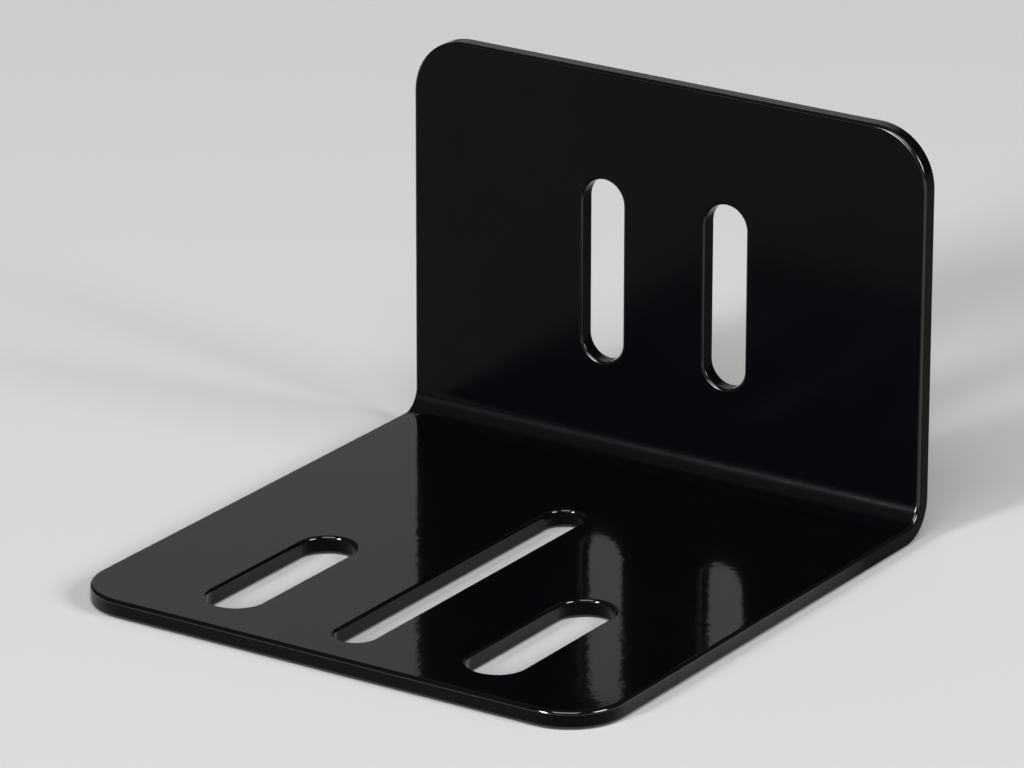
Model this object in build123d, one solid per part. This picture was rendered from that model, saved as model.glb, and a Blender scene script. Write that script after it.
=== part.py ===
from build123d import *
import os

# Camera mount: one steel sheet bent into an L, with three slots in its base and two in its upright.
#
# The base lies on the ground plane and the upright rises from its rear edge. The origin is on the
# underside of the base, at the middle of the part's footprint. +X is to the right, +Y runs from the
# free front edge towards the upright, and +Z is up. All sizes are in millimetres and include the
# black coat, which follows the steel as an even film.

# Sheet and overall form
WIDTH = 100.0
BASE_DEPTH = 103.6
UPRIGHT_HEIGHT = 70.2
SHEET_THICKNESS = 3.1
BEND_INNER_RADIUS = 3.6
BASE_CORNER_RADIUS = 10.0
UPRIGHT_CORNER_RADIUS = 10.0
OUTLINE_EDGE_RADIUS = 0.6
SLOT_EDGE_RADIUS = 0.5

# Long slot on the centre line of the base, for the camera's screw
CAMERA_SLOT_WIDTH = 7.0
CAMERA_SLOT_LENGTH = 67.6
CAMERA_SLOT_FRONT_MARGIN = 6.4

# Pair of wide slots in the base, one each side of the camera slot
OUTER_SLOT_WIDTH = 9.9
OUTER_SLOT_LENGTH = 35.2
OUTER_SLOT_FRONT_MARGIN = 7.5
OUTER_SLOT_SPACING = 50.0

# Pair of upright slots, for the screws that hold the mount to its carrier
UPRIGHT_SLOT_WIDTH = 8.0
UPRIGHT_SLOT_LENGTH = 32.3
UPRIGHT_SLOT_CENTRE_HEIGHT = 35.0
UPRIGHT_SLOT_SPACING = 24.0

# Faces that everything else is placed from
FRONT_Y = -BASE_DEPTH / 2
BACK_Y = BASE_DEPTH / 2
UPRIGHT_FRONT_Y = BACK_Y - SHEET_THICKNESS


def sheet_section():
    """Side view of the bent sheet: a flat base, a bend of even thickness and a flat upright."""
    with BuildSketch(Plane.YZ) as section:
        with BuildLine():
            Polyline(
                (FRONT_Y, 0),
                (BACK_Y, 0),
                (BACK_Y, UPRIGHT_HEIGHT),
                (UPRIGHT_FRONT_Y, UPRIGHT_HEIGHT),
                (UPRIGHT_FRONT_Y, SHEET_THICKNESS),
                (FRONT_Y, SHEET_THICKNESS),
                close=True,
            )
        make_face()
        inner_corner = section.vertices().sort_by_distance((UPRIGHT_FRONT_Y, SHEET_THICKNESS))[0]
        fillet(inner_corner, BEND_INNER_RADIUS)
        outer_corner = section.vertices().sort_by_distance((BACK_Y, 0))[0]
        fillet(outer_corner, BEND_INNER_RADIUS + SHEET_THICKNESS)
    return section.sketch


def round_flange_corners(sheet):
    """Rounds the two free corners of the base and the two free corners of the upright, in plan."""
    base_corners = sheet.edges().filter_by(Axis.Z).group_by(Axis.Y)[0]
    sheet = fillet(base_corners, BASE_CORNER_RADIUS)
    upright_corners = sheet.edges().filter_by(Axis.Y).group_by(Axis.Z)[-1]
    return fillet(upright_corners, UPRIGHT_CORNER_RADIUS)


def base_slots():
    """Cutters for the camera slot and for the wide slot on each side of it."""
    camera_y = FRONT_Y + CAMERA_SLOT_FRONT_MARGIN + CAMERA_SLOT_LENGTH / 2
    outer_y = FRONT_Y + OUTER_SLOT_FRONT_MARGIN + OUTER_SLOT_LENGTH / 2
    with BuildPart() as cutters:
        with BuildSketch(Plane.XY.offset(SHEET_THICKNESS / 2)):
            with Locations((0, camera_y)):
                SlotOverall(CAMERA_SLOT_LENGTH, CAMERA_SLOT_WIDTH, rotation=90)
            with Locations((-OUTER_SLOT_SPACING / 2, outer_y), (OUTER_SLOT_SPACING / 2, outer_y)):
                SlotOverall(OUTER_SLOT_LENGTH, OUTER_SLOT_WIDTH, rotation=90)
        extrude(amount=SHEET_THICKNESS, both=True)
    return cutters.part


def upright_slots():
    """Cutters for the two parallel slots that run up the upright."""
    left = (-UPRIGHT_SLOT_SPACING / 2, UPRIGHT_SLOT_CENTRE_HEIGHT)
    right = (UPRIGHT_SLOT_SPACING / 2, UPRIGHT_SLOT_CENTRE_HEIGHT)
    with BuildPart() as cutters:
        with BuildSketch(Plane.XZ.offset(SHEET_THICKNESS / 2 - BACK_Y)):
            with Locations(left, right):
                SlotOverall(UPRIGHT_SLOT_LENGTH, UPRIGHT_SLOT_WIDTH, rotation=90)
        extrude(amount=SHEET_THICKNESS, both=True)
    return cutters.part


def round_outline(sheet):
    """Rounds the cut edge all round the sheet, on both faces.

    The tangent lines of the bend and the seams that cross the thickness stay as they are.
    """
    edges = sheet.edges()
    bend_lines = edges.filter_by(Axis.X).group_by(SortBy.LENGTH)[-1]
    base_seams = edges.filter_by(Axis.Z).filter_by_position(Axis.Z, 0, SHEET_THICKNESS)
    upright_seams = edges.filter_by(Axis.Y).filter_by_position(Axis.Y, UPRIGHT_FRONT_Y, BACK_Y)
    return fillet(edges - bend_lines - base_seams - upright_seams, OUTLINE_EDGE_RADIUS)


def cut_slots(sheet, cutters):
    """Cuts the slots through the sheet and rounds their rims on both faces."""
    slotted = sheet - cutters
    rims = new_edges(sheet, cutters, combined=slotted)
    return fillet(rims, SLOT_EDGE_RADIUS)


def bracket():
    """The whole mount: the section carried across the width, then trimmed, deburred and slotted."""
    sheet = extrude(sheet_section(), amount=WIDTH / 2, both=True)
    sheet = round_flange_corners(sheet)
    sheet = round_outline(sheet)
    return cut_slots(sheet, base_slots() + upright_slots())


os.makedirs("parts", exist_ok=True)
export_step(bracket(), "parts/bracket.step")
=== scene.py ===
import math

import bpy
from mathutils import Euler, Matrix, Vector

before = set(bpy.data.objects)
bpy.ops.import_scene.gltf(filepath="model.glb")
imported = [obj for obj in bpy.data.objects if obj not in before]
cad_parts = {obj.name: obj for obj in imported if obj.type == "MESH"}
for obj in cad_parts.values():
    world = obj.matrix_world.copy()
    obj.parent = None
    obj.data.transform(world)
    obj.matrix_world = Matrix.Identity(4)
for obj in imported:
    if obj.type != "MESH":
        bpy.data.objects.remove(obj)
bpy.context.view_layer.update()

# Camera of the photograph: where it stands, which way it looks, how long its lens is and how far it sees
CAMERA_PLACE = (0.57593, -0.87495, 0.41684)
CAMERA_YAW_DEG = 33.27
CAMERA_PITCH_DEG = -20.16
CAMERA_ROLL_DEG = 0.074
CAMERA_LENS_MM = 243.2
CAMERA_REACH = 50.0
SENSOR_MM = 36.0

# Floor and room
FLOOR_SIZE = 12.0
FLOOR_DROP = 0.00005
FLOOR_COLOUR = (0.62, 0.62, 0.62, 1.0)
FLOOR_ROUGHNESS = 0.9
FLOOR_SPECULAR = 0.1
ROOM_COLOUR = (0.05, 0.05, 0.05, 1.0)
ROOM_STRENGTH = 1.0

# Lamps: direction from the object, distance, width and height as shares of it, radiance, lean in degrees
LAMPS = {
    "reflector": ((-0.515, 0.784, 0.38), 1.6, (0.875, 0.5), 0.39, 0.0),
    "tall_box": ((-0.205, -0.940, 0.280), 3.4, (0.17, 0.52), 44.0, 20.0),
    "front_panel": ((0.22, -0.50, 0.84), 3.4, (0.62, 0.58), 4.6, 0.0),
    "side_box": ((0.875, 0.02, 0.44), 3.0, (0.40, 0.36), 17.0, 0.0),
}

# Where the coat's zones start and end: heights and depths first, then how far a surface is turned. The
# rear and sideways ranges bound a painted shade on the rear cut sides, the backward range a painted
# reflection on rear faces, and the rounded range a painted highlight on the rims.
MM = 0.001
BASE_TOP = 3.3 * MM
BEND_FRONT = (43.5 * MM, 45.5 * MM)
BEND_TOP = (5.0 * MM, 9.0 * MM)
PAINTED_SHADE_REAR_RANGE = (6.0 * MM, 32.0 * MM)
PAINTED_SHADE_SIDEWAYS = (0.8, 0.97)
PAINTED_REFLECTION_BACKWARD = (0.5, 0.9)
RIM_PAINTED_HIGHLIGHT_RANGE = (0.02, 0.08)

# Gloss black coat: colour, mirror strength and roughness. The stronger rim mirror paints the lamps'
# highlights brighter, the stronger back mirror paints a reflection on rear faces, and the weaker side
# level paints shade on the rear cut sides.
COAT_DARKEST = (0.0010, 0.0012, 0.0017, 1.0)
COAT_PALEST = (0.0017, 0.0020, 0.0027, 1.0)
COAT_IOR = 1.4
CLEAR_LAYER = {"Coat_Weight": 0.1, "Coat_Roughness": 0.18, "Coat_IOR": 1.3}
FLAT_SHINE = 0.05
RIM_PAINTED_HIGHLIGHT_SHINE = 1.8
BACK_PAINTED_REFLECTION_SHINE = 0.6
SIDE_PAINTED_SHADE_LEVEL = (0.5, 0.02)
BASE_ROUGHNESS = (0.045, 0.085)
UPRIGHT_ROUGHER = 0.1
BEND_SHARE = 0.78

# Clouds in the coat, and the depth and grain of its waves
CLOUD_GRAIN = {"Scale": 90.0, "Detail": 4.0, "Roughness": 0.6}
WAVE_GRAIN = {"Scale": 110.0, "Detail": 1.0}
WAVE_DEPTH = 0.02 * MM
PEEL_GRAIN = {"Scale": 600.0, "Detail": 2.0, "Roughness": 0.5}
PEEL_DEPTH = 0.013 * MM


def put(node, **values):
    """Sets a node's inputs by name, with underscores for the spaces."""
    for name, value in values.items():
        node.inputs[name.replace("_", " ")].default_value = value


def add(tree, kind, **values):
    """Adds a shader node and sets its inputs."""
    made = tree.nodes.new(kind)
    put(made, **values)
    return made


def calculate(tree, operation, *values):
    """Adds a math node that works on sockets and plain numbers, and gives its output."""
    made = tree.nodes.new("ShaderNodeMath")
    made.operation = operation
    for socket, value in zip(made.inputs, values):
        if isinstance(value, bpy.types.NodeSocket):
            tree.links.new(value, socket)
        else:
            socket.default_value = value
    return made.outputs["Value"]


def remap(tree, value, old, new):
    """Maps a socket's value from an old range to a new one, held at the ends."""
    made = add(tree, "ShaderNodeMapRange", From_Min=old[0], From_Max=old[1], To_Min=new[0], To_Max=new[1])
    tree.links.new(value, made.inputs["Value"])
    return made.outputs["Result"]


def noise(tree, place, grain):
    """Adds a noise that is fixed to the object, and gives its output."""
    made = add(tree, "ShaderNodeTexNoise", **grain)
    tree.links.new(place.outputs["Object"], made.inputs["Vector"])
    return made.outputs["Fac"]


def bump(tree, height, depth, below=None):
    """Adds a bump of the given depth, on top of another one if there is one, and gives its output."""
    made = add(tree, "ShaderNodeBump", Strength=1.0, Distance=depth)
    tree.links.new(height, made.inputs["Height"])
    if below:
        tree.links.new(below, made.inputs["Normal"])
    return made.outputs["Normal"]


def along(tree, vector, axis):
    """Gives a vector's part along one axis."""
    made = tree.nodes.new("ShaderNodeSeparateXYZ")
    tree.links.new(vector, made.inputs["Vector"])
    return made.outputs[axis]


def rim_painted_highlight_zone(tree, place):
    """Rounded parts of the sheet, which face neither straight out of it nor along it, where a stronger
    mirror paints the lamps' highlights brighter.
    """
    height = along(tree, place.outputs["Object"], "Z")
    across = tree.nodes.new("ShaderNodeMix")
    tree.links.new(calculate(tree, "GREATER_THAN", height, BASE_TOP), across.inputs["Factor"])
    tree.links.new(along(tree, place.outputs["Normal"], "Z"), across.inputs["A"])
    tree.links.new(along(tree, place.outputs["Normal"], "Y"), across.inputs["B"])
    facing = calculate(tree, "ABSOLUTE", across.outputs["Result"])
    return calculate(tree, "MULTIPLY", facing, calculate(tree, "SUBTRACT", 1.0, facing))


def side_painted_shade_zone(tree, place):
    """Cut sides of the sheet, more and more towards the rear, where a weaker mirror paints shade."""
    turned = calculate(tree, "ABSOLUTE", along(tree, place.outputs["Normal"], "X"))
    sideways = remap(tree, turned, PAINTED_SHADE_SIDEWAYS, (0.0, 1.0))
    rear = remap(tree, along(tree, place.outputs["Object"], "Y"), PAINTED_SHADE_REAR_RANGE, (0.0, 1.0))
    return calculate(tree, "MULTIPLY", sideways, rear)


def upright_zone(tree, place):
    """The upright, and the bend below it to a lesser share."""
    behind = remap(tree, along(tree, place.outputs["Object"], "Y"), BEND_FRONT, (0.0, 1.0))
    above = remap(tree, along(tree, place.outputs["Object"], "Z"), BEND_TOP, (BEND_SHARE, 1.0))
    return calculate(tree, "MULTIPLY", above, behind)


def back_painted_reflection_zone(tree, place):
    """Surfaces that face the rear, where a stronger mirror than on the front flats paints a reflection.
    """
    return remap(tree, along(tree, place.outputs["Normal"], "Y"), PAINTED_REFLECTION_BACKWARD, (0.0, 1.0))


def mirror_strength(tree, place, shader):
    """Mirrors most on the rims, as painted highlight on top of the lamps' own, less on the back, as
    painted reflection, little on the flats and least on the rear cut sides, as painted shade.
    """
    # painted highlight: the rims mirror far more than the flats, so the lamps' highlight lines read
    # brighter
    rims = remap(tree, rim_painted_highlight_zone(tree, place), RIM_PAINTED_HIGHLIGHT_RANGE, (FLAT_SHINE, RIM_PAINTED_HIGHLIGHT_SHINE))
    # painted reflection: the back faces mirror more than the front flats
    back = calculate(tree, "MULTIPLY", back_painted_reflection_zone(tree, place), BACK_PAINTED_REFLECTION_SHINE)
    tree.links.new(calculate(tree, "MAXIMUM", rims, back), shader.inputs["Specular Tint"])
    # painted shade: the cut sides mirror less and less towards the rear
    level = remap(tree, side_painted_shade_zone(tree, place), (0.0, 1.0), SIDE_PAINTED_SHADE_LEVEL)
    tree.links.new(level, shader.inputs["Specular IOR Level"])


def clouded_colour(tree, place, shader):
    """Near-black colour and slight roughness in faint clouds, rougher on the upright and in the bend."""
    cloud = noise(tree, place, CLOUD_GRAIN)
    tone = tree.nodes.new("ShaderNodeValToRGB")
    tone.color_ramp.elements[0].color = COAT_DARKEST
    tone.color_ramp.elements[1].color = COAT_PALEST
    tree.links.new(cloud, tone.inputs["Fac"])
    tree.links.new(tone.outputs["Color"], shader.inputs["Base Color"])
    even = remap(tree, cloud, (0.0, 1.0), BASE_ROUGHNESS)
    rougher = calculate(tree, "MULTIPLY", upright_zone(tree, place), UPRIGHT_ROUGHER)
    tree.links.new(calculate(tree, "ADD", even, rougher), shader.inputs["Roughness"])


def orange_peel(tree, place, shader):
    """Low waves in the coat with fine peel on top of them."""
    waves = bump(tree, noise(tree, place, WAVE_GRAIN), WAVE_DEPTH)
    peel = bump(tree, noise(tree, place, PEEL_GRAIN), PEEL_DEPTH, waves)
    tree.links.new(peel, shader.inputs["Normal"])
    tree.links.new(peel, shader.inputs["Coat Normal"])


def black_coat():
    """Gloss black coat on steel, with its zones fixed to the object."""
    material = bpy.data.materials.new("black_coat")
    material.use_nodes = True
    tree = material.node_tree
    shader = tree.nodes["Principled BSDF"]
    put(shader, IOR=COAT_IOR, **CLEAR_LAYER)
    place = tree.nodes.new("ShaderNodeTexCoord")
    mirror_strength(tree, place, shader)
    clouded_colour(tree, place, shader)
    orange_peel(tree, place, shader)
    return material


def dress_bracket(material):
    """Gives the CAD node its finish."""
    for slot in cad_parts["bracket"].material_slots:
        slot.material = material


def floor():
    """Wide pale floor that the mount stands on."""
    bpy.ops.mesh.primitive_plane_add(size=FLOOR_SIZE, location=(0, 0, -FLOOR_DROP))
    plane = bpy.context.object
    plane.name = "floor"
    material = bpy.data.materials.new("floor")
    material.use_nodes = True
    shader = material.node_tree.nodes["Principled BSDF"]
    put(shader, Base_Color=FLOOR_COLOUR, Roughness=FLOOR_ROUGHNESS, Specular_IOR_Level=FLOOR_SPECULAR)
    plane.data.materials.append(material)


def room():
    """Dim even light from all round."""
    world = bpy.data.worlds.new("room")
    bpy.context.scene.world = world
    world.use_nodes = True
    put(world.node_tree.nodes["Background"], Color=ROOM_COLOUR, Strength=ROOM_STRENGTH)


def soft_box(name, direction, distance, spread, radiance, lean_deg):
    """Rectangular soft lamp that faces the object, placed by its direction and distance."""
    width, height = (distance * share for share in spread)
    lamp = bpy.data.lights.new(name, "AREA")
    lamp.shape = "RECTANGLE"
    lamp.size = width
    lamp.size_y = height
    lamp.energy = radiance * math.pi * width * height
    holder = bpy.data.objects.new(name, lamp)
    away = Vector(direction).normalized()
    holder.location = away * distance
    level = away.to_track_quat("Z", "Y").to_matrix()
    holder.rotation_euler = (level @ Matrix.Rotation(math.radians(lean_deg), 3, "Z")).to_euler()
    bpy.context.collection.objects.link(holder)


def camera():
    """Camera at the photograph's place, angle and focal length."""
    data = bpy.data.cameras.new("camera")
    data.sensor_fit = "HORIZONTAL"
    data.sensor_width = SENSOR_MM
    data.lens = CAMERA_LENS_MM
    data.clip_end = CAMERA_REACH
    holder = bpy.data.objects.new("camera", data)
    holder.location = CAMERA_PLACE
    aim = Euler((math.radians(90 + CAMERA_PITCH_DEG), 0, math.radians(CAMERA_YAW_DEG)))
    turn = aim.to_matrix() @ Matrix.Rotation(math.radians(CAMERA_ROLL_DEG), 3, "Z")
    holder.rotation_euler = turn.to_euler()
    bpy.context.collection.objects.link(holder)
    bpy.context.scene.camera = holder


camera()
dress_bracket(black_coat())
floor()
room()
for lamp_name, settings in LAMPS.items():
    soft_box(lamp_name, *settings)
bpy.context.scene.view_settings.view_transform = "Standard"
